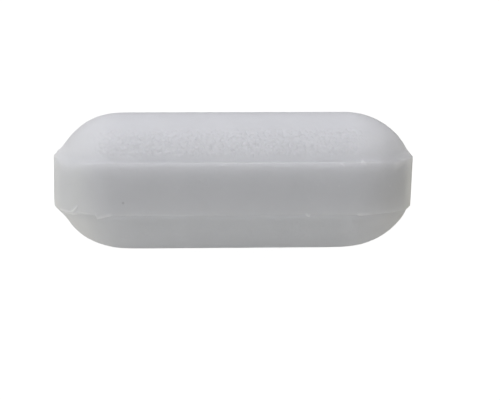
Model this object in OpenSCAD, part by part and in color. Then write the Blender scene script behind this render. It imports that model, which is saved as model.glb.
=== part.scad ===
// Magnetic stir bar: a rod magnet sealed inside a white moulded jacket.
// The jacket is a round-ended bar pressed from two sides, along Y. Two cups meet at a
// straight-walled band, which stands out of them as a narrow ledge. Each ledge carries a
// thin line of flash, and at both ends the ledge is trimmed to a slope.
// The bar lies on one flat wall of its band, with its length along X.
// The origin is under its middle.

/* [Jacket] */
// Length of the jacket, end to end
jacket_l = 25.4; // [22:0.1:60]
// Diameter of the round body and of its domed ends
jacket_d = 9.6; // [8:0.1:13]

/* [Band] */
// Height of the straight wall between the two cups
band_h = 3.5; // [2.8:0.1:4.4]
// How far the flash stands up from the ledge
flash_h = 0.1; // [0.05:0.01:0.3]
// Thickness of the flash at the wall
flash_t = 0.12; // [0.05:0.01:0.25]
// Length of bar along which the flash is left standing
flash_l = 20.2; // [16:0.1:21]

/* [Trimmed ends] */
// Rise of the slope from ledge to dome at the -X end
left_trim_rise = 1; // [0.3:0.05:1.15]
// Rise of the slope from ledge to dome at the +X end
right_trim_rise = 0.45; // [0.3:0.05:1.15]
// How far the axis of a sloped trim lies outside the axis of the dome
trim_shift = 0.6; // [0.3:0.1:1.2]
// How far the cone of a trim reaches past the end wall that cuts it off
trim_over = 0.05; // [0.02:0.01:0.1]

/* [Magnet] */
// Jacket wall round the side of the magnet
side_wall = 1.6; // [1:0.1:2.4]
// Jacket wall past each end of the magnet
end_wall = 3.15; // [2.4:0.05:5]
// Gap left between the magnet and its pocket
pocket_fit = 0.02; // [0.01:0.01:0.1]
// Chamfer on the rims of the magnet
magnet_chamfer = 0.4; // [0.1:0.1:0.8]

/* [Hidden] */
$fn = 96;
jacket_white = [0.9, 0.9, 0.91];
magnet_grey = [0.27, 0.27, 0.28];
dome_r = jacket_d / 2;
dome_x = jacket_l / 2 - dome_r;
band_y = band_h / 2;
past = 1;
magnet_r = dome_r - side_wall - pocket_fit;
magnet_l = jacket_l - 2 * (end_wall + pocket_fit);

// Outline of the bar seen along Y, drawn in by an inset
module bar_outline(inset = 0) {
    square([2 * dome_x, jacket_d - 2 * inset], center = true);
    for (side = [-1, 1]) {
        translate([side * dome_x, 0]) circle(r = dome_r - inset);
    }
}

// Wall with the outline of the bar, upright along Y
module outline_wall(height, inset = 0) {
    rotate([90, 0, 0]) linear_extrude(height = height, center = true) bar_outline(inset);
}

// Round bar with domed ends
module round_bar() {
    rotate([0, 90, 0]) rotate_extrude() {
        intersection() {
            rotate(90) bar_outline();
            translate([0, -jacket_l / 2]) square([dome_r, jacket_l]);
        }
    }
}

// Half of the round bar, from inside the band to the crown
module cup() {
    intersection() {
        round_bar();
        translate([-jacket_l / 2, band_y / 2, -dome_r]) cube([jacket_l, dome_r, jacket_d]);
    }
}

// Cone that slopes from the end wall at the band's edge to the dome, rise above that edge.
// It ends inside the dome, halfway along the chord that its side cuts there.
module trim_cone(rise) {
    foot_r = dome_r + trim_over;
    dome_cut_r = sqrt(pow(dome_r, 2) - pow(band_y + rise, 2));
    run = foot_r - dome_cut_r;
    side = norm([run, rise]);
    half_chord = (foot_r * run - band_y * rise) / side;
    height = half_chord * rise / side;
    top_r = foot_r - half_chord * run / side;
    translate([dome_x + trim_shift, band_y, 0]) rotate([-90, 0, 0])
        cylinder(h = height, r1 = foot_r - trim_shift, r2 = top_r - trim_shift);
}

// Slab of the band, cut to the outline later
module band_slab() {
    cube([jacket_l + past, band_h, jacket_d + past], center = true);
}

// Flash along both edges of the wall, on both long sides
module flash() {
    difference() {
        cube([flash_l, band_h + 2 * flash_h, jacket_d + past], center = true);
        outline_wall(band_h + 2 * flash_h + past, flash_t);
    }
}

// Rod with chamfered rims along X, grown all round by a gap
module magnet_rod(grow = 0) {
    r = magnet_r + grow;
    half = magnet_l / 2 + grow;
    c = magnet_chamfer;
    rotate([0, 90, 0]) rotate_extrude()
        polygon([[0, -half], [r - c, -half], [r, c - half], [r, half - c], [r - c, half], [0, half]]);
}

// Jacket: band, cups, flash and trims, held to the outline, round the magnet's pocket
module ptfe_jacket() {
    color(jacket_white) translate([0, 0, dome_r]) difference() {
        intersection() {
            outline_wall(jacket_d + past);
            union() {
                band_slab();
                flash();
                for (turn = [0, 1]) {
                    mirror([0, turn, 0]) {
                        cup();
                        trim_cone(right_trim_rise);
                        mirror([1, 0, 0]) trim_cone(left_trim_rise);
                    }
                }
            }
        }
        magnet_rod(pocket_fit);
    }
}

// Rod magnet, sealed in the jacket
module magnet_core() {
    color(magnet_grey) translate([0, 0, dome_r]) magnet_rod();
}

ptfe_jacket();
magnet_core();
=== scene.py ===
import math
import bpy
import numpy as np
from mathutils import Matrix, Vector


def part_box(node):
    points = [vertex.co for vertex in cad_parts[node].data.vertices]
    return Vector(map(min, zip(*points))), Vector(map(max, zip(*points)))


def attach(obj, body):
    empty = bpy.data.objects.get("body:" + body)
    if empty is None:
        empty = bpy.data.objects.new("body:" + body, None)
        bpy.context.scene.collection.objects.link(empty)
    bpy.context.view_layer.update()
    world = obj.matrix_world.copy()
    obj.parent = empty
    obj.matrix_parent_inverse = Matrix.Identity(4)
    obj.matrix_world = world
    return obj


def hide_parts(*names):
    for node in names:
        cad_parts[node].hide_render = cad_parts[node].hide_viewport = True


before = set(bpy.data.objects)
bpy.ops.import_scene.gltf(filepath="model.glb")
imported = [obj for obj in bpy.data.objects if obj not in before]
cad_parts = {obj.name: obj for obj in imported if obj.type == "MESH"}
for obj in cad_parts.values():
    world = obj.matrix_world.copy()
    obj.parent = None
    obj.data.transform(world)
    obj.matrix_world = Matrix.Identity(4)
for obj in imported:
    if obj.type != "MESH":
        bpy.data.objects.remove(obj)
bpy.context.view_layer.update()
mm = 0.001  # metres in a millimetre
print("frame loaded")


jacketLow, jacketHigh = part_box("ptfe_jacket")
magnetLow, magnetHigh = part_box("magnet_core")
barRadius = (jacketHigh.z - jacketLow.z) / 2
domeX = (jacketHigh.x - jacketLow.x) / 2 - barRadius  # centre of each domed end
barMiddle = Vector((0, 0, (jacketHigh.z + jacketLow.z) / 2))


# Fades from 0 at low to 1 at high: three times the square of the share less twice its cube.
def smoothStep(values, low, high):
    share = np.clip((values - low) / (high - low), 0, 1)
    return share * share * (3 - 2 * share)


# The higher of two heights, with the inner corner between them filled by a curve of the given width.
def filletedMax(first, second, width):
    overlap = np.clip(width - np.abs(first - second), 0, None) / width
    return np.maximum(first, second) + overlap * overlap * width / 4


# A bell of height 1 round the middle: e to the minus half of the squared distance in widths.
def bell(values, middle, width):
    return np.exp(-0.5 * ((values - middle) / width) ** 2)


# Random numbers, one for each lattice corner, blended smoothly inside each cube. From -1 to 1.
def latticeNoise(points, cell, seed):
    rng = np.random.default_rng(seed)
    low = points.min(axis=0) - cell
    count = np.ceil((points.max(axis=0) - low) / cell).astype(int) + 2
    lattice = rng.uniform(-1, 1, count)
    place = (points - low) / cell
    corner = np.floor(place).astype(int)
    share = smoothStep(place - corner, 0, 1)
    total = np.zeros(len(points))
    for dx in (0, 1):
        for dy in (0, 1):
            for dz in (0, 1):
                weight = (
                    np.abs(1 - dx - share[:, 0])
                    * np.abs(1 - dy - share[:, 1])
                    * np.abs(1 - dz - share[:, 2])
                )
                total += weight * lattice[corner[:, 0] + dx, corner[:, 1] + dy, corner[:, 2] + dz]
    return total


# The same along a line, for what wanders with the distance along the wall.
def lineNoise(distance, cell, seed):
    flat = np.ravel(distance)
    points = np.stack([flat, np.zeros_like(flat), np.zeros_like(flat)], axis=1)
    return latticeNoise(points, cell, seed).reshape(np.shape(distance))


# A mesh of the given points and faces, with its place in the mesh.
def makePiece(name, points, faces, smooth=True):
    mesh = bpy.data.meshes.new(name)
    mesh.from_pydata(points.tolist(), [], faces)
    mesh.validate()
    mesh.polygons.foreach_set("use_smooth", np.full(len(mesh.polygons), smooth))
    mesh.update()
    piece = bpy.data.objects.new(name, mesh)
    bpy.context.scene.collection.objects.link(piece)
    return piece


# Quads of a grid whose columns close round: each joins two rows and two neighbouring columns.
def ringFaces(rows, columns, start=0):
    row = np.arange(rows - 1)[:, None]
    column = np.arange(columns)[None, :]
    after = (column + 1) % columns
    quads = np.stack(
        [row * columns + column, (row + 1) * columns + column,
         (row + 1) * columns + after, row * columns + after], axis=-1)
    return (quads.reshape(-1, 4) + start).tolist()


# Points that lie together become one, so crowns, poles and ends are closed.
def closeSeams(piece, apart=0.002 * mm):
    bpy.context.view_layer.objects.active = piece
    weld = piece.modifiers.new("closeSeams", "WELD")
    weld.merge_threshold = apart
    bpy.ops.object.modifier_apply(modifier=weld.name)


jacketSizes = dict(
    columns=580,             # steps round the outline
    closeColumns=2.6,        # how much closer they stand where there are marks
    closeSpans=((-12.0, -8.0), (4.7, 5.8), (7.0, 9.6)),  # in mm from the middle of the upper face
    closeFade=0.4,           # mm over which they close up
    densitySteps=6001,       # steps in which their density is summed
    cupRows=36,              # rows from the crown to the ledge
    ledgeRows=10,            # rows across the ledge and its flash
    cornerRows=8,            # rows round the lip of the wall
    wallRows=46,             # rows down the wall
    bandHeight=3.5 * mm,     # straight wall between the cups
    bellySpan=(-1, 1.3),     # where a cup's fullness changes, in half lengths of the straight body
    flashHeight=0.016 * mm,  # flash above the ledge
    flashMean=0.75,          # share of that height that it has on average
    flashWander=((0.35, 2.2 * mm, 0), (0.25, 0.5 * mm, 50)),  # share, length, step of the seed
    flashWidth=0.14 * mm,    # flash at its foot
    flashTop=0.3,            # share of that width that stands full
    flashFade=0.5 * mm,      # it fades over this to either side of each end
    swellAt=3.5 * mm,        # where the flash swells, from the middle of the upper face
    swellWidth=3.5 * mm,
    lipRadius=0.022 * mm,    # rounding of the wall's lips
    lipFade=0.25 * mm,       # how far the finish of a lip reaches down the wall
    slopeStep=0.004 * mm,    # step in which the slope at a lip is measured
    steepest=math.radians(60),  # steepest slope at which a lip starts
    wornTilt=math.radians(58),  # slope at which a worn lip starts
    wornFull=0.25 * mm,      # wear at which it starts so steep
    lean=0.022 * mm,         # how far the pressed half's lip leans in from the wall
    leanHeight=0.6 * mm,     # and over what height
    leanReach=(0.85 * barRadius, 0.95 * barRadius),  # reach over which that sets in
    leanFade=(1 * mm, 3 * mm),  # and distance from a tip
    trimShift=0.6 * mm,      # a trim's axis lies this far outside the dome's
    trimInside=0.75 * barRadius,  # reach at which a trim ends, inside the dome
    trimEdge=(-0.1 * mm, -0.02 * mm),  # how near under the skin a cut starts to dull it, and does wholly
    dropWidth=1.6 * mm,      # how far from the tip a trim's drop reaches
    fillAt=5.3 * mm,         # distance from a tip at which the ledge's corner is filled most
    fillWidth=1.4 * mm,
    paleHeight=0.06 * mm,    # torn flash of this height is wholly pale
    markSteps=40,            # points along a mark's path
    markEnds=(0.04, 0.96),   # stretch of a half sine that its size follows
    markReach=3,             # half widths from its path at which it ends
    markDepth=0.2 * mm,      # marks stand on skin up to this far inside the wall
    pebbleHeight=0.006 * mm,
    pebbleCell=0.27 * mm,
    pebbleSeed=41,
    wallReach=0.95 * barRadius,  # skin past this reach, between the ledges, is wall
    wallPebble=0.15,         # share of the pebbling that it has
)


# Distance along the wall counts from the -X tip, over the upper face to the +X tip, and back below:
# two straights, and half a circle round each dome's middle. This gives the X of the nearest point on the
# centre line, and the outward direction there in X and Z.
def outlineAt(distance):
    quarter = math.pi * barRadius / 2
    straight = 2 * domeX
    breaks = np.cumsum([0, quarter, straight, 2 * quarter, straight, quarter])
    turns = np.radians([0, 90, 90, 270, 270, 360])
    centres = np.array([-1, -1, 1, 1, -1, -1]) * domeX
    turn = np.interp(distance, breaks, turns)
    return np.interp(distance, breaks, centres), -np.cos(turn), np.sin(turn)


outlineLength = 2 * math.pi * barRadius + 4 * domeX
upperMiddle = outlineLength / 4  # distance of the middle of the upper face


# Where skin at this reach from the centre line lies, in X and Z.
def planAt(distance, reach):
    centreX, outX, outZ = outlineAt(distance)
    return centreX + outX * reach, outZ * reach


# How much of the flash is left: 1 between its two ends on each face, 0 where it was trimmed away.
# Its ends count from the middle of the face, towards +X on the upper one and -X on the lower.
def flashLeft(distance, half):
    fade = jacketSizes["flashFade"]
    left = 0
    for middle, ends in ((upperMiddle, half["upperFlash"]), (3 * upperMiddle, half["lowerFlash"])):
        rise = smoothStep(distance - middle, ends[0] - fade, ends[0] + fade)
        left = left + rise * (1 - smoothStep(distance - middle, ends[1] - fade, ends[1] + fade))
    return left


# The two halves of the moulding. Belly is how much fuller the cup is than a true circle, and belly tilt
# how that grows towards +X. Places along the wall count from the middle of a face. A trim has the slope
# of its cut, and how far below the lip the cut comes out at the tip. It fills the ledge's corner beside
# it, and the lip is worn down there, most at a distance from the tip. Feathers are torn bits of flash,
# as points along the wall and the height that they add. A dent has its middle, depth and width, and
# stands out where the depth is below 0.
halves = dict(
    pressed=dict(
        seed=11, belly=-0.0035, bellyTilt=-0.002, ledgeFillet=0.1 * mm, trimFillet=0.16 * mm,
        upperFlash=(-9.6 * mm, 8.3 * mm), lowerFlash=(-11.5 * mm, 11.8 * mm), flashSwell=0.5,
        feathers=np.array([[-14.0, 0], [8.50, 0], [8.62, 0.07], [8.82, 0.06], [8.95, 0],
                           [11.05, 0], [11.4, 0.04], [12.3, 0.05], [12.7, 0], [14.0, 0]]) * mm,
        trims={-1: dict(slope=1.01, drop=-0.08 * mm, fill=0.65 * mm,
                        wear=0.22 * mm, wearAt=4.0 * mm, wearWidth=1.5 * mm),
               1: dict(slope=1.14, drop=0.10 * mm, fill=0.7 * mm,
                       wear=0.20 * mm, wearAt=4.2 * mm, wearWidth=1.1 * mm)},
        dents=[dict(middle=(-9.9, 4.3, 0.4), depth=-0.022 * mm, width=0.7 * mm),
               dict(middle=(-8.2, 4.7, 0.4), depth=0.025 * mm, width=0.7 * mm)]),
    seated=dict(
        seed=12, belly=0.017, bellyTilt=-0.008, ledgeFillet=0.6 * mm, trimFillet=0.06 * mm,
        upperFlash=(-12.4 * mm, 9.3 * mm), lowerFlash=(-12.0 * mm, 11.0 * mm), flashSwell=0.0,
        feathers=np.array([[-14.0, 0], [-12.0, 0], [-11.7, 0.06], [-10.9, 0.09], [-10.5, 0],
                           [-9.08, 0], [-9.0, 0.26], [-8.6, 0.16], [-8.3, 0.08], [-7.9, 0],
                           [4.85, 0], [5.16, 0.12], [5.24, 0],
                           [8.3, 0], [8.5, 0.05], [9.2, 0.03], [9.5, 0], [14.0, 0]]) * mm,
        trims={-1: dict(slope=1.12, drop=0.07 * mm, fill=0,
                        wear=0.11 * mm, wearAt=0, wearWidth=1.8 * mm),
               1: dict(slope=0.75, drop=0, fill=0,
                       wear=0, wearAt=0, wearWidth=1.8 * mm)},
        dents=[dict(middle=(-9.1, -4.5, 0.4), depth=0.155 * mm, width=0.8 * mm),
               dict(middle=(8.7, -4.7, 0.4), depth=0.115 * mm, width=0.75 * mm)]),
)

# How far each end stands out from a true round end, at heights from the lower cup to the upper.
endFit = dict(
    heights=np.array([-4.4, -3.8, -3.2, -2.6, -2.2, -1.75, -1.4, 1.75, 2.15, 2.6, 3.0, 3.8, 4.4]) * mm,
    left=np.array([-0.14, -0.10, -0.08, -0.11, 0.0, 0.01, 0.05, -0.05, 0.045, -0.02, -0.01, -0.01, 0]) * mm,
    right=np.array([-0.32, -0.06, 0.03, 0.08, 0.08, -0.12, -0.1, -0.01, 0.03, 0.09, 0.11, 0.11, 0.15]) * mm,
)

# Curls of flash pressed on the upper wall, and small raised marks. The points of a path give the
# distance along the wall from the middle of the face, and the height on the wall. All in millimetres.
marks = dict(
    hook=dict(width=0.22, lift=0.12, pale=1.0,
              path=[(-11.4, -1.70), (-10.94, -1.60), (-10.64, -1.42), (-10.46, -1.16)]),
    hookFoot=dict(width=0.26, lift=0.05, pale=1.0,
                  path=[(-12.5, -1.60), (-11.8, -1.68), (-10.7, -1.72)]),
    hookTail=dict(width=0.10, lift=0.03, pale=0.5,
                  path=[(-10.7, -1.56), (-10.3, -1.62), (-9.81, -1.64), (-9.1, -1.68)]),
    nick=dict(width=0.12, lift=0.03, pale=0.6, path=[(7.16, 1.70), (7.34, 1.64), (7.5, 1.48)]),
    smear=dict(width=0.26, lift=0.02, pale=0.9, path=[(8.74, 1.86), (8.76, 1.79), (8.78, 1.72)]),
    ring=dict(width=0.10, lift=0.01, pale=0.2,
              path=[(5.50, -0.46), (5.34, -0.43), (5.16, -0.5),
                    (5.16, -0.62), (5.34, -0.69), (5.52, -0.62)]),
    dash=dict(width=0.10, lift=0.01, pale=0.2, path=[(5.24, -0.93), (5.4, -0.92), (5.58, -0.88)]),
)


# Distance along the wall from the tip of one end, whichever way is shorter.
def fromTip(distance, side):
    tip = 0 if side < 0 else outlineLength / 2
    apart = np.abs(distance - tip)
    return np.minimum(apart, outlineLength - apart)


# How far a trim draws the lip down: a bell round its tip.
def lipDrop(distance, side, trim):
    return trim["drop"] * bell(fromTip(distance, side), 0, jacketSizes["dropWidth"])


# Height of one half's trims: each rises in a straight slope, from the lip towards an axis that lies
# outside its dome.
def trimHeight(distance, reach, half):
    j = jacketSizes
    planX, planZ = planAt(distance, reach)
    height = np.full(np.shape(planX), -barRadius)
    for side, trim in half["trims"].items():
        lip = j["bandHeight"] / 2 - lipDrop(distance, side, trim)
        fromAxis = np.hypot(planX - side * (domeX + j["trimShift"]), planZ)
        cut = lip + (barRadius - j["trimShift"] - fromAxis) * trim["slope"]
        outside = (side * planX > domeX) & (reach > j["trimInside"])
        height = np.where(outside, cut, height)
    return height


# How much torn flash stands above the lip, and how much of it and of the flash counts at this reach.
def tornFlash(distance, reach, half):
    j = jacketSizes
    feathers = half["feathers"]
    rim = smoothStep(reach, barRadius - j["flashWidth"], barRadius - j["flashTop"] * j["flashWidth"])
    return np.interp(distance - upperMiddle, feathers[:, 0], feathers[:, 1]) * rim, rim


# Height of one half above the middle plane. It is the highest of three surfaces, with the corners
# between them filled: the cup, which is its fullness times the root of the squared radius less the
# squared reach; the ledge, with the flash standing on its rim; and the trims.
def halfHeight(distance, reach, half):
    j = jacketSizes
    planX = planAt(distance, reach)[0]
    fullness = 1 + half["belly"] + half["bellyTilt"] * np.clip(planX / domeX, *j["bellySpan"])
    cup = np.sqrt(np.clip(barRadius ** 2 - reach ** 2, 0, None)) * fullness
    wander = j["flashMean"]
    for share, length, seedStep in j["flashWander"]:
        wander = wander + share * lineNoise(distance, length, half["seed"] + seedStep)
    wander = wander + half["flashSwell"] * bell(distance, upperMiddle + j["swellAt"], j["swellWidth"])
    torn, rim = tornFlash(distance, reach, half)
    ledge = j["bandHeight"] / 2 + j["flashHeight"] * wander * flashLeft(distance, half) * rim + torn
    fillet = half["ledgeFillet"]
    for side, trim in half["trims"].items():
        ledge = ledge - lipDrop(distance, side, trim)
        fillet = fillet + trim["fill"] * bell(fromTip(distance, side), j["fillAt"], j["fillWidth"])
    height = filletedMax(cup, ledge, fillet)
    return filletedMax(height, trimHeight(distance, reach, half), half["trimFillet"])


# Rows of one half from the crown to the start of the wall: the reach grows along the cup's arc and then
# evenly across the ledge. The last rows turn over the lip on a quadratic curve, which starts along the
# slope it meets, or steeper where the lip is worn, and ends upright. Their finish is how far they are
# trimmed, on the trims and where the lip has lost its flash, and how pale they are, on torn flash.
def halfRows(distance, half):
    j = jacketSizes
    wear = np.zeros_like(distance)
    for side, trim in half["trims"].items():
        wear = wear + trim["wear"] * bell(fromTip(distance, side), trim["wearAt"], trim["wearWidth"])
    foot = barRadius - j["lipRadius"] - wear
    fall = halfHeight(distance, foot - j["slopeStep"], half) - halfHeight(distance, foot, half)
    least = j["wornTilt"] * np.clip(wear / j["wornFull"], 0, 1)
    tilt = np.clip(np.arctan(fall / j["slopeStep"]), least, j["steepest"])
    deep = j["lipRadius"] * (1 - np.sin(tilt)) + wear
    ledgeShare = math.sqrt(1 - (j["bandHeight"] / 2 / barRadius) ** 2)
    arc = np.linspace(0, math.asin(ledgeShare), j["cupRows"])
    shares = np.concatenate([np.sin(arc), np.linspace(ledgeShare, 1, j["ledgeRows"] + 1)[1:]])
    reach = shares[:, None] * (barRadius - deep)[None, :]
    height = halfHeight(np.broadcast_to(distance, reach.shape), reach, half)
    share = np.linspace(0, 1, j["cornerRows"] + 1)[1:, None]
    drop = deep * np.tan(tilt) * (2 * share - share ** 2)
    lipHeight = height[-1] - drop - deep / np.cos(tilt) * share ** 2
    reach = np.vstack([reach, barRadius - deep * (1 - share) ** 2])
    height = np.vstack([height, lipHeight])
    spread = np.broadcast_to(distance, reach.shape)
    torn, rim = tornFlash(spread, reach, half)
    onTrim = smoothStep(trimHeight(spread, reach, half) - height, *j["trimEdge"])
    trimmed = np.maximum(onTrim, (1 - flashLeft(spread, half)) * rim)
    return reach, height, trimmed, np.clip(torn / j["paleHeight"], 0, 1)


# A smooth line through points: between two of them the cubic whose ends run along their neighbours.
def smoothPath(points, steps):
    points = np.asarray(points, float)
    held = np.vstack([2 * points[0] - points[1], points, 2 * points[-1] - points[-2]])
    place = np.linspace(0, len(points) - 1, steps)
    start = np.minimum(place.astype(int), len(points) - 2)
    share = (place - start)[:, None]
    before, here, there, after = (held[start + k] for k in range(4))
    return here + 0.5 * share * (there - before + share * (
        2 * before - 5 * here + 4 * there - after + share * (3 * (here - there) + after - before)))


# How far the marks stand out from the wall, and how pale they are. Each is a bell across its path,
# whose height and width grow and fall along the path as the root of a half sine.
def markRelief(distance, height):
    j = jacketSizes
    lift, pale = np.zeros_like(height), np.zeros_like(height)
    along = distance - upperMiddle
    for mark in marks.values():
        path = smoothPath(mark["path"], j["markSteps"]) * mm
        halfWidth = mark["width"] * mm / 2
        low = path.min(axis=0) - j["markReach"] * halfWidth
        high = path.max(axis=0) + j["markReach"] * halfWidth
        near = (along > low[0]) & (along < high[0]) & (height > low[1]) & (height < high[1])
        aside = along[near][:, None] - path[None, :, 0]
        above = height[near][:, None] - path[None, :, 1]
        size = np.sqrt(np.sin(math.pi * np.linspace(*j["markEnds"], len(path))))
        shape = np.max(size * bell(np.hypot(aside, above) / size, 0, halfWidth / 2), axis=1)
        lift[near] += mark["lift"] * mm * shape
        pale[near] = np.maximum(pale[near], mark["pale"] * shape)
    return lift, pale


# Where the columns stand: the running sum of a density, which is higher along each mark and feather,
# is cut into equal parts.
def columnPlaces():
    j = jacketSizes
    fine = np.linspace(0, outlineLength, j["densitySteps"])
    along = fine - upperMiddle
    busy = np.zeros_like(fine)
    for low, high in j["closeSpans"]:
        rise = smoothStep(along, (low - j["closeFade"]) * mm, low * mm)
        fall = smoothStep(along, high * mm, (high + j["closeFade"]) * mm)
        busy = np.maximum(busy, rise * (1 - fall))
    total = np.concatenate([[0], np.cumsum(1 + (j["closeColumns"] - 1) * busy[:-1])])
    return np.interp(np.linspace(0, total[-1], j["columns"], endpoint=False), total, fine)


jacketFinish = dict(
    paler=(0.81, 0.82, 0.84),    # the two whites of its faint mottling
    darker=(0.79, 0.80, 0.82),
    mottling=2.5 * mm,           # size of a cloud
    cloudSpan=(0.35, 0.65),      # noise at which a cloud starts and is full
    depth=3.6 * mm,              # how far light wanders under the skin
    index=1.36,                  # of refraction
    smoothest=0.28,              # roughness where it is shiniest and dullest
    dullest=0.31,
    patches=0.6 * mm,            # size of a shiny or dull patch
    patchSpan=(0.3, 0.7),        # noise at which a dull patch starts and is full
    dullRoughness=0.6,           # roughness of a trim
    dullPaleness=0.05,           # how far a trim is as pale as thin flash
    seatedDull=0.75,             # how far the seated half is as dull and pale as a trim
    thinFlash=(0.96, 0.97, 0.98),
    paleWeight=0.45,             # share of light that still wanders under the skin of torn flash
    # Painted light: the domed ends are painted paler, standing in for the extra light that they catch and
    # carry under the skin.
    endLightStrength=0.4,               # how far the solid ends are as pale as thin flash
    endLightLength=(7 * mm, 11 * mm),     # lengths from the middle over which that grows
    endLightHeight=(1.6 * mm, 2.6 * mm),  # and heights
    pebble=0.26 * mm,            # pebbling of the sintered skin
    pebbleBlend=0.3,             # how softly its grains meet
    pebbleHeight=0.11 * mm,
    ledge=(1.85 * mm, 2.45 * mm),  # heights over which the pebbling grows up from each ledge
    crown=(3.5 * mm, 4.1 * mm),    # and fades towards each crown
    dome=(8.0 * mm, 10.0 * mm),    # and lengths from the middle over which it fades towards the ends
    plainest=0.12,               # how much of it is left on the crowns, the domes and the wall
    seated=0.2,                  # share of it that the seated half has
    drag=0.08 * mm,              # spacing of the drag lines that the mould leaves on the wall
    dragStretch=(1, 0.03, 1),    # they run along Y
    dragHeight=0.0012 * mm,
    speckCore=0.3,               # share of a speck's size that has its full strength
    specks=(                     # place from the bar's middle in mm, size in mm, colour, strength
        ((-7.2, -0.9, 4.8), 0.12, (0.35, 0.35, 0.36), 0.35),
        ((7.12, 0.21, 4.8), 0.06, (0.95, 0.95, 0.95), 0.6),
        ((9.92, -0.38, 4.37), 0.06, (0.95, 0.95, 0.95), 0.6),
        ((10.62, 0.06, 3.95), 0.08, (0.95, 0.95, 0.95), 0.6),
    ),
)


# Rows of the whole skin, with their reach, height and finish: the pressed half's, the wall's between the
# two lips, spaced closer near the lips by half a cosine, and the seated half's in reverse. The lips'
# finish fades down the wall. The height of the pressed half's lip comes with them.
def skinRows(distance):
    j = jacketSizes
    topReach, topHeight, topTrimmed, topPale = halfRows(distance, halves["pressed"])
    lowReach, lowHeight, lowTrimmed, lowPale = halfRows(distance, halves["seated"])
    down = (1 - np.cos(np.linspace(0, math.pi, j["wallRows"] + 2)))[1:-1, None] / 2
    wallHeight = topHeight[-1] * (1 - down) - lowHeight[-1] * down
    underTop = 1 - smoothStep(topHeight[-1] - wallHeight, 0, j["lipFade"])
    overLow = 1 - smoothStep(wallHeight + lowHeight[-1], 0, j["lipFade"])
    wallTrimmed = topTrimmed[-1] * underTop + lowTrimmed[-1] * overLow
    wallPale = topPale[-1] * underTop + lowPale[-1] * overLow
    reach = np.vstack([topReach, np.full_like(wallHeight, barRadius), lowReach[::-1]])
    height = np.vstack([topHeight, wallHeight, -lowHeight[::-1]])
    trimmed = np.vstack([topTrimmed, wallTrimmed, lowTrimmed[::-1]])
    pale = np.vstack([topPale, wallPale, lowPale[::-1]])
    return reach, height, trimmed, pale, topHeight[-1]


# How far the skin leans in from the wall: most at the pressed half's lip, falling below it as a squared
# share, and not inside the ledge nor round the tips.
def leanIn(distance, reach, height, lip):
    j = jacketSizes
    leaning = np.clip(1 - (lip - height) / j["leanHeight"], 0, 1) ** 2
    leaning = leaning * smoothStep(reach, *j["leanReach"])
    for side in (-1, 1):
        leaning = leaning * smoothStep(fromTip(distance, side), *j["leanFade"])
    return j["lean"] * leaning


# Moves the ends out along X to their fit, and then each point along the line from the centre line: in by
# a bell round each dent, and in or out by a fine pebbling. It also tells which points are on the wall.
def fitAndPebble(points, reach):
    j = jacketSizes
    for side, fit in ((-1, endFit["left"]), (1, endFit["right"])):
        out = np.interp(points[:, 1], endFit["heights"], fit)
        points[:, 0] += side * out * smoothStep(side * points[:, 0], domeX, domeX + barRadius)
    spine = np.clip(points[:, 0], -domeX, domeX)
    away = points - np.stack([spine, np.zeros_like(spine), np.zeros_like(spine)], axis=1)
    away = away / np.linalg.norm(away, axis=1, keepdims=True)
    for half in halves.values():
        for dent in half["dents"]:
            apart = np.linalg.norm(points - np.array(dent["middle"]) * mm, axis=1)
            points = points - away * (dent["depth"] * bell(apart, 0, dent["width"]))[:, None]
    onWall = (np.abs(points[:, 1]) < j["bandHeight"] / 2) & (reach > j["wallReach"])
    pebble = latticeNoise(points, j["pebbleCell"], j["pebbleSeed"])
    pebble = pebble * j["pebbleHeight"] * np.where(onWall, j["wallPebble"], 1)
    return points + away * pebble[:, None], onWall


# The skin's finish beyond the marks and lips: painted light on the domed ends, which makes them paler, the
# pebbling between ledge and crown, and the dull seated half.
def skinFinish(points, onWall, trimmed, pale):
    f = jacketFinish
    along, across = np.abs(points[:, 0]), np.abs(points[:, 1])
    # Painted light on the domed ends: it grows in towards each tip and up from the wall, and leaves the
    # wall itself out.
    paintedEndLight = smoothStep(along, *f["endLightLength"]) * smoothStep(across, *f["endLightHeight"])
    pebbled = smoothStep(across, *f["ledge"]) * (1 - smoothStep(across, *f["crown"]))
    pebbled = np.maximum(pebbled * (1 - smoothStep(along, *f["dome"])), f["plainest"])
    pebbled = pebbled * np.where(points[:, 1] < 0, f["seated"], 1)
    dull = np.maximum(trimmed, f["seatedDull"] * smoothStep(-points[:, 1], *f["ledge"]))
    return dict(onWall=onWall, pale=pale, dull=dull, paintedEndLight=paintedEndLight, pebbled=pebbled)


# The jacket's skin: its rows, with the marks standing out from the wall and the pressed half's lip
# leaning in, set out round the centre line.
def jacketSkin():
    distance = columnPlaces()
    reach, height, trimmed, pale, lip = skinRows(distance)
    lift, markPale = markRelief(np.broadcast_to(distance, height.shape), height)
    reach = reach + np.where(reach > barRadius - jacketSizes["markDepth"], lift, 0)
    reach = reach - leanIn(distance, reach, height, lip)
    pale = np.maximum(markPale, pale)
    planX, planZ = planAt(distance, reach)
    points = np.stack([planX, height, planZ], axis=-1).reshape(-1, 3)
    points, onWall = fitAndPebble(points, np.ravel(reach))
    return points, len(reach), skinFinish(points, onWall, np.ravel(trimmed), np.ravel(pale))


pocketSizes = dict(
    gap=0.02 * mm,      # between the magnet and the jacket
    chamfer=0.4 * mm,   # on the rims
    columns=96,
)


# The magnet's pocket: a rod with chamfered rims, turned round X, facing inwards.
def pocketSkin(start):
    p = pocketSizes
    half = (magnetHigh.x - magnetLow.x) / 2 + p["gap"]
    radius = (magnetHigh.z - magnetLow.z) / 2 + p["gap"]
    along = np.array([-half, -half, p["chamfer"] - half, half - p["chamfer"], half, half])
    out = np.array([0, radius - p["chamfer"], radius, radius, radius - p["chamfer"], 0])[:, None]
    turn = np.linspace(0, 2 * math.pi, p["columns"], endpoint=False)
    spread = np.broadcast_to(along[:, None], (len(along), len(turn)))
    points = np.stack([spread, out * np.cos(turn), out * np.sin(turn)], axis=-1)
    return points.reshape(-1, 3), ringFaces(len(along), len(turn), start)


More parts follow.
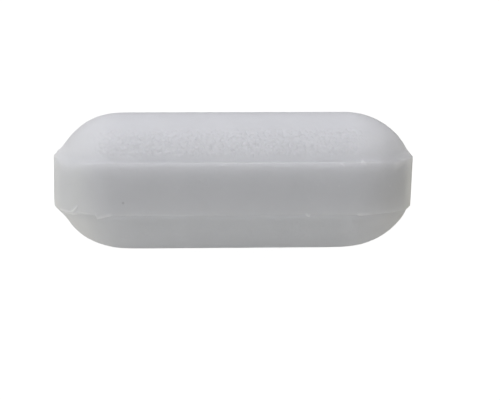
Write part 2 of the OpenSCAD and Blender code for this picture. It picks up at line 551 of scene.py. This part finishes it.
# The jacket is one mesh of two closed shells, the skin and the pocket. The pocket has no finish.
def makeJacket():
    skin, rows, finish = jacketSkin()
    faces = ringFaces(rows, jacketSizes["columns"])
    pocket, pocketFaces = pocketSkin(len(skin))
    points = np.vstack([skin, pocket]) + np.array(barMiddle)
    jacket = makePiece("moulded_jacket", points, faces + pocketFaces)
    for name, values in finish.items():
        attribute = jacket.data.attributes.new(name, "FLOAT", "POINT")
        whole = np.concatenate([values, np.zeros(len(pocket))])
        attribute.data.foreach_set("value", whole.astype(np.float32))
    closeSeams(jacket)
    return jacket


jacket = makeJacket()
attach(jacket, "root")
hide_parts("ptfe_jacket")
print("jacket made:", len(jacket.data.polygons), "faces")


def newMaterial(name):
    material = bpy.data.materials.new(name)
    material.use_nodes = True
    return material, material.node_tree, material.node_tree.nodes["Principled BSDF"]


# The piece's own space in steps of a size, stretched along each axis.
def addPlace(tree, size, stretch):
    place = tree.nodes.new("ShaderNodeTexCoord")
    mapping = tree.nodes.new("ShaderNodeMapping")
    mapping.inputs["Scale"].default_value = [share / size for share in stretch]
    tree.links.new(place.outputs["Object"], mapping.inputs["Vector"])
    return mapping.outputs["Vector"]


# Noise in the piece's own space. Its size is that of one cloud, and stretch turns it to streaks.
def addNoise(tree, size, detail, stretch=(1, 1, 1)):
    noise = tree.nodes.new("ShaderNodeTexNoise")
    noise.inputs["Scale"].default_value = 1
    noise.inputs["Detail"].default_value = detail
    tree.links.new(addPlace(tree, size, stretch), noise.inputs["Vector"])
    return noise.outputs["Fac"]


# Low domes side by side, as sintered grains are: one less the squared distance to the nearest middle.
# Blend is how softly they meet.
def addGrains(tree, size, blend):
    cells = tree.nodes.new("ShaderNodeTexVoronoi")
    cells.feature = "SMOOTH_F1"
    cells.inputs["Scale"].default_value = 1
    cells.inputs["Smoothness"].default_value = blend
    tree.links.new(addPlace(tree, size, (1, 1, 1)), cells.inputs["Vector"])
    squared = addMath(tree, "MULTIPLY", cells.outputs["Distance"], cells.outputs["Distance"])
    return addSpan(tree, squared, 0, 1, 1, 0)


def addMath(tree, operation, first, second):
    result = tree.nodes.new("ShaderNodeMath")
    result.operation = operation
    tree.links.new(first, result.inputs[0])
    tree.links.new(second, result.inputs[1])
    return result.outputs["Value"]


def addAttribute(tree, name):
    attribute = tree.nodes.new("ShaderNodeAttribute")
    attribute.attribute_name = name
    return attribute.outputs["Fac"]


# Carries a value from one span to another.
def addSpan(tree, value, low, high, newLow, newHigh):
    span = tree.nodes.new("ShaderNodeMapRange")
    for socket, number in zip(("From Min", "From Max", "To Min", "To Max"), (low, high, newLow, newHigh)):
        span.inputs[socket].default_value = number
    tree.links.new(value, span.inputs["Value"])
    return span.outputs["Result"]


def addMix(tree, share, first, second):
    mix = tree.nodes.new("ShaderNodeMix")
    mix.data_type = "RGBA"
    tree.links.new(share, mix.inputs["Factor"])
    for socket, colour in ((mix.inputs["A"], first), (mix.inputs["B"], second)):
        if isinstance(colour, tuple):
            socket.default_value = (*colour, 1)
        else:
            tree.links.new(colour, socket)
    return mix.outputs["Result"]


def addBump(tree, height, distance, strength, before=None):
    bump = tree.nodes.new("ShaderNodeBump")
    bump.inputs["Distance"].default_value = distance
    tree.links.new(height, bump.inputs["Height"])
    if isinstance(strength, (int, float)):
        bump.inputs["Strength"].default_value = strength
    else:
        tree.links.new(strength, bump.inputs["Strength"])
    if before is not None:
        tree.links.new(before, bump.inputs["Normal"])
    return bump.outputs["Normal"]


# Each speck mixes its colour into the white round its place.
def addSpecks(tree, white):
    f = jacketFinish
    place = tree.nodes.new("ShaderNodeTexCoord")
    for middle, size, colour, strength in f["specks"]:
        apart = tree.nodes.new("ShaderNodeVectorMath")
        apart.operation = "DISTANCE"
        apart.inputs[1].default_value = barMiddle + Vector(middle) * mm
        tree.links.new(place.outputs["Object"], apart.inputs[0])
        core = f["speckCore"] * size * mm
        speck = addSpan(tree, apart.outputs["Value"], core, size * mm, strength, 0)
        white = addMix(tree, speck, white, colour)
    return white


def waxyWhite():
    f = jacketFinish
    material, tree, shader = newMaterial("waxy_white_moulding")
    clouds = addSpan(tree, addNoise(tree, f["mottling"], detail=3.0), *f["cloudSpan"], 0, 1)
    white = addSpecks(tree, addMix(tree, clouds, f["darker"], f["paler"]))
    pale, dull = addAttribute(tree, "pale"), addAttribute(tree, "dull")
    # Painted light: the domed ends are mixed towards the paler white of thin flash.
    endLightShare = addSpan(tree, addAttribute(tree, "paintedEndLight"), 0, 1, 0, f["endLightStrength"])
    for paleness in (endLightShare, addSpan(tree, dull, 0, 1, 0, f["dullPaleness"]), pale):
        white = addMix(tree, paleness, white, f["thinFlash"])
    tree.links.new(white, shader.inputs["Base Color"])
    tree.links.new(addSpan(tree, pale, 0, 1, 1, f["paleWeight"]), shader.inputs["Subsurface Weight"])
    shader.inputs["Subsurface Radius"].default_value = (1, 1, 1)
    shader.inputs["Subsurface Scale"].default_value = f["depth"]
    shader.inputs["IOR"].default_value = f["index"]
    patches = addNoise(tree, f["patches"], detail=2.0)
    roughness = addSpan(tree, patches, *f["patchSpan"], f["smoothest"], f["dullest"])
    dullness = addSpan(tree, dull, 0, 1, 0, f["dullRoughness"])
    tree.links.new(addMath(tree, "MAXIMUM", roughness, dullness), shader.inputs["Roughness"])
    grains = addGrains(tree, f["pebble"], f["pebbleBlend"])
    pebbles = addBump(tree, grains, f["pebbleHeight"], addAttribute(tree, "pebbled"))
    drag = addNoise(tree, f["drag"], detail=1.0, stretch=f["dragStretch"])
    skin = addBump(tree, drag, f["dragHeight"], addAttribute(tree, "onWall"), pebbles)
    tree.links.new(skin, shader.inputs["Normal"])
    return material


magnetFinish = dict(
    darker=(0.16, 0.16, 0.17),   # the two greys of its grain
    lighter=(0.27, 0.27, 0.28),
    grain=0.3 * mm,
    smoothest=0.42,              # roughness where it is shiniest and dullest
    dullest=0.62,
    patches=0.5 * mm,            # size of a shiny or dull patch
    noiseSpan=(0.3, 0.7),        # noise at which a grain or patch starts and is full
    grinding=0.06 * mm,          # spacing of the grinding marks
    grindingStretch=(1, 0.1, 0.1),  # they run across X
    grindingHeight=0.004 * mm,
    grindingStrength=0.6,
)


def castAlloy():
    f = magnetFinish
    material, tree, shader = newMaterial("cast_magnet_alloy")
    tone = addSpan(tree, addNoise(tree, f["grain"], detail=4.0), *f["noiseSpan"], 0, 1)
    tree.links.new(addMix(tree, tone, f["darker"], f["lighter"]), shader.inputs["Base Color"])
    shader.inputs["Metallic"].default_value = 1
    patches = addNoise(tree, f["patches"], detail=3.0)
    roughness = addSpan(tree, patches, *f["noiseSpan"], f["smoothest"], f["dullest"])
    tree.links.new(roughness, shader.inputs["Roughness"])
    ground = addNoise(tree, f["grinding"], detail=2.0, stretch=f["grindingStretch"])
    marked = addBump(tree, ground, f["grindingHeight"], f["grindingStrength"])
    tree.links.new(marked, shader.inputs["Normal"])
    return material


jacket.data.materials.append(waxyWhite())
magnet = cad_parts["magnet_core"]
magnet.material_slots[0].material = castAlloy()
print("materials made")


studio = dict(
    floorRadius=0.6,
    floorSides=96,
    floorThrow=0.5,      # share of light that the floor throws back on the bar
    floorRoughness=0.9,
    floorSpecular=0.1,
    floorGlow=1.25,      # how bright the floor shows
    floorWhite=0.8,      # how white it shows in real light
    floorShade=0.25,     # share of real light and shadow in what shows
    roomGlow=0.0,        # light from all round
)


# Shows one shader to the camera and another to everything else.
def addSeenShader(tree, seen, other):
    path = tree.nodes.new("ShaderNodeLightPath")
    mix = tree.nodes.new("ShaderNodeMixShader")
    tree.links.new(path.outputs["Is Camera Ray"], mix.inputs[0])
    tree.links.new(other, mix.inputs[1])
    tree.links.new(seen, mix.inputs[2])
    return mix.outputs[0]


# The floor is one face, with its points evenly round a circle.
def makeFloor():
    s = studio
    turn = np.linspace(0, 2 * math.pi, s["floorSides"], endpoint=False)
    points = np.stack([np.cos(turn), np.sin(turn), np.zeros_like(turn)], axis=1) * s["floorRadius"]
    floor = makePiece("floor", points, [list(range(len(turn)))], smooth=False)
    material, tree, thrown = newMaterial("pale_floor")
    thrown.inputs["Base Color"].default_value = (s["floorThrow"],) * 3 + (1,)
    thrown.inputs["Roughness"].default_value = s["floorRoughness"]
    thrown.inputs["Specular IOR Level"].default_value = s["floorSpecular"]
    shade = tree.nodes.new("ShaderNodeBsdfDiffuse")
    shade.inputs["Color"].default_value = (s["floorWhite"],) * 3 + (1,)
    glow = tree.nodes.new("ShaderNodeEmission")
    glow.inputs["Strength"].default_value = s["floorGlow"]
    seen = tree.nodes.new("ShaderNodeMixShader")
    seen.inputs[0].default_value = s["floorShade"]
    tree.links.new(glow.outputs[0], seen.inputs[1])
    tree.links.new(shade.outputs[0], seen.inputs[2])
    whole = addSeenShader(tree, seen.outputs[0], thrown.outputs[0])
    tree.links.new(whole, tree.nodes["Material Output"].inputs["Surface"])
    floor.data.materials.append(material)


def makeRoom():
    world = bpy.data.worlds.new("room")
    bpy.context.scene.world = world
    world.use_nodes = True
    tree = world.node_tree
    room = tree.nodes["Background"]
    room.inputs["Color"].default_value = (1, 1, 1, 1)
    room.inputs["Strength"].default_value = studio["roomGlow"]
    seen = tree.nodes.new("ShaderNodeBackground")
    seen.inputs["Color"].default_value = (1, 1, 1, 1)
    seen.inputs["Strength"].default_value = studio["floorGlow"]
    whole = addSeenShader(tree, seen.outputs[0], room.outputs[0])
    tree.links.new(whole, tree.nodes["World Output"].inputs["Surface"])


# Softboxes, each at a place from the bar's middle and facing it, in metres. Glow is the brightness of
# its face in red, green and blue.
softboxes = dict(
    key=dict(place=(-0.10, 0.30, 0.055), width=0.18, height=0.11, glow=(2.48, 2.49, 2.72)),
    keyMiddle=dict(place=(0.10, 0.30, 0.055), width=0.18, height=0.11, glow=(1.06, 1.04, 1.18)),
    keyLowLeft=dict(place=(-0.16, 0.29, 0.012), width=0.24, height=0.03, glow=(6.26, 6.34, 6.68)),
    keyLowRight=dict(place=(0.16, 0.29, 0.012), width=0.24, height=0.03, glow=(2.97, 2.92, 3.00)),
    sheen=dict(place=(-0.04, 0.270, 0.130), width=0.24, height=0.016, glow=(18.91, 18.81, 19.95)),
    high=dict(place=(0.0, 0.20, 0.29), width=0.30, height=0.10, glow=(1.10, 1.09, 1.07)),
    leftHigh=dict(place=(-0.28, 0.14, 0.24), width=0.16, height=0.16, glow=(2.68, 2.68, 2.73)),
    leftSide=dict(place=(-0.34, -0.04, 0.09), width=0.16, height=0.14, glow=(0.37, 0.41, 0.07)),
    rightHigh=dict(place=(0.28, 0.14, 0.24), width=0.16, height=0.16, glow=(1.25, 1.24, 1.06)),
    low=dict(place=(0.0, -0.32, 0.06), width=0.20, height=0.10, glow=(3.10, 3.17, 3.22)),
    lowRight=dict(place=(0.22, -0.28, 0.03), width=0.14, height=0.06, glow=(1.08, 1.04, 1.44)),
    frontLeft=dict(place=(-0.20, -0.16, 0.32), width=0.2, height=0.16, glow=(1.11, 1.10, 1.17)),
    frontRight=dict(place=(0.20, -0.16, 0.32), width=0.2, height=0.16, glow=(0.22, 0.21, 0.18)),
    cardLeft=dict(place=(-0.026, -0.014, 0.006), width=0.012, height=0.012, glow=(2.07, 2.00, 1.85)),
    cardRight=dict(place=(0.026, -0.014, 0.006), width=0.012, height=0.012, glow=(1.24, 1.17, 0.95)),
    rimLeft=dict(place=(-0.0165, 0, -0.0027), width=0.008, height=0.004, glow=(0.33, 0.33, 0.29)),
    rimRight=dict(place=(0.0165, 0, -0.0027), width=0.008, height=0.004, glow=(0.50, 0.50, 0.42)),
    cardFront=dict(place=(0.0, -0.014, 0.030), width=0.04, height=0.006, glow=(1.31, 1.33, 1.42)),
)


# A softbox's power is its brightness times pi times its area.
def makeSoftbox(name, box):
    lamp = bpy.data.lights.new(name, "AREA")
    lamp.shape = "RECTANGLE"
    lamp.size = box["width"]
    lamp.size_y = box["height"]
    brightest = max(box["glow"])
    lamp.color = [share / brightest for share in box["glow"]]
    lamp.energy = brightest * math.pi * box["width"] * box["height"]
    light = bpy.data.objects.new(name, lamp)
    back = Vector(box["place"]).normalized()
    side = Vector((0, 0, 1)).cross(back).normalized()
    stand = Matrix((side, back.cross(side), back)).transposed()
    light.matrix_world = Matrix.Translation(barMiddle + Vector(box["place"])) @ stand.to_4x4()
    light.visible_camera = False
    bpy.context.scene.collection.objects.link(light)


# The camera stands off the bar by a distance, lifted towards +Y and turned towards +X. Then it is
# aimed so that the bar's middle lands on a pixel, and rolled.
view = dict(
    away=65 * mm,
    lift=7.903,               # degrees, as turn and roll
    turn=1.611,
    roll=-0.392,
    lens=65.53,               # mm
    sensorWidth=36,           # mm
    nearest=1 * mm,           # it sees from here
    furthest=2,               # to here, in metres
    imageSize=(500, 400),
    middlePixel=(233.46, 179.31),
)


def makeCamera():
    v = view
    lift, turn = math.radians(v["lift"]), math.radians(v["turn"])
    back = Vector((math.sin(turn) * math.cos(lift), math.sin(lift), math.cos(turn) * math.cos(lift)))
    right = Vector((0, 1, 0)).cross(back).normalized()
    stand = Matrix((right, back.cross(right), back)).transposed()
    camera = bpy.data.cameras.new("camera")
    camera.sensor_width = v["sensorWidth"]
    camera.lens = v["lens"]
    pixels = v["lens"] / v["sensorWidth"] * v["imageSize"][0]  # focal length in pixels
    across = math.atan2(v["middlePixel"][0] - v["imageSize"][0] / 2, pixels)
    along = math.atan2(v["imageSize"][1] / 2 - v["middlePixel"][1], pixels)
    stand = stand @ Matrix.Rotation(across, 3, "Y") @ Matrix.Rotation(-along, 3, "X")
    stand = stand @ Matrix.Rotation(math.radians(v["roll"]), 3, "Z")
    camera.clip_start = v["nearest"]
    camera.clip_end = v["furthest"]
    holder = bpy.data.objects.new("camera", camera)
    holder.matrix_world = Matrix.Translation(barMiddle + back * v["away"]) @ stand.to_4x4()
    bpy.context.scene.collection.objects.link(holder)
    bpy.context.scene.camera = holder


makeFloor()
makeRoom()
for name, box in softboxes.items():
    makeSoftbox(name, box)
makeCamera()
bpy.context.scene.view_settings.view_transform = "Standard"
print("floor, lights and camera made")
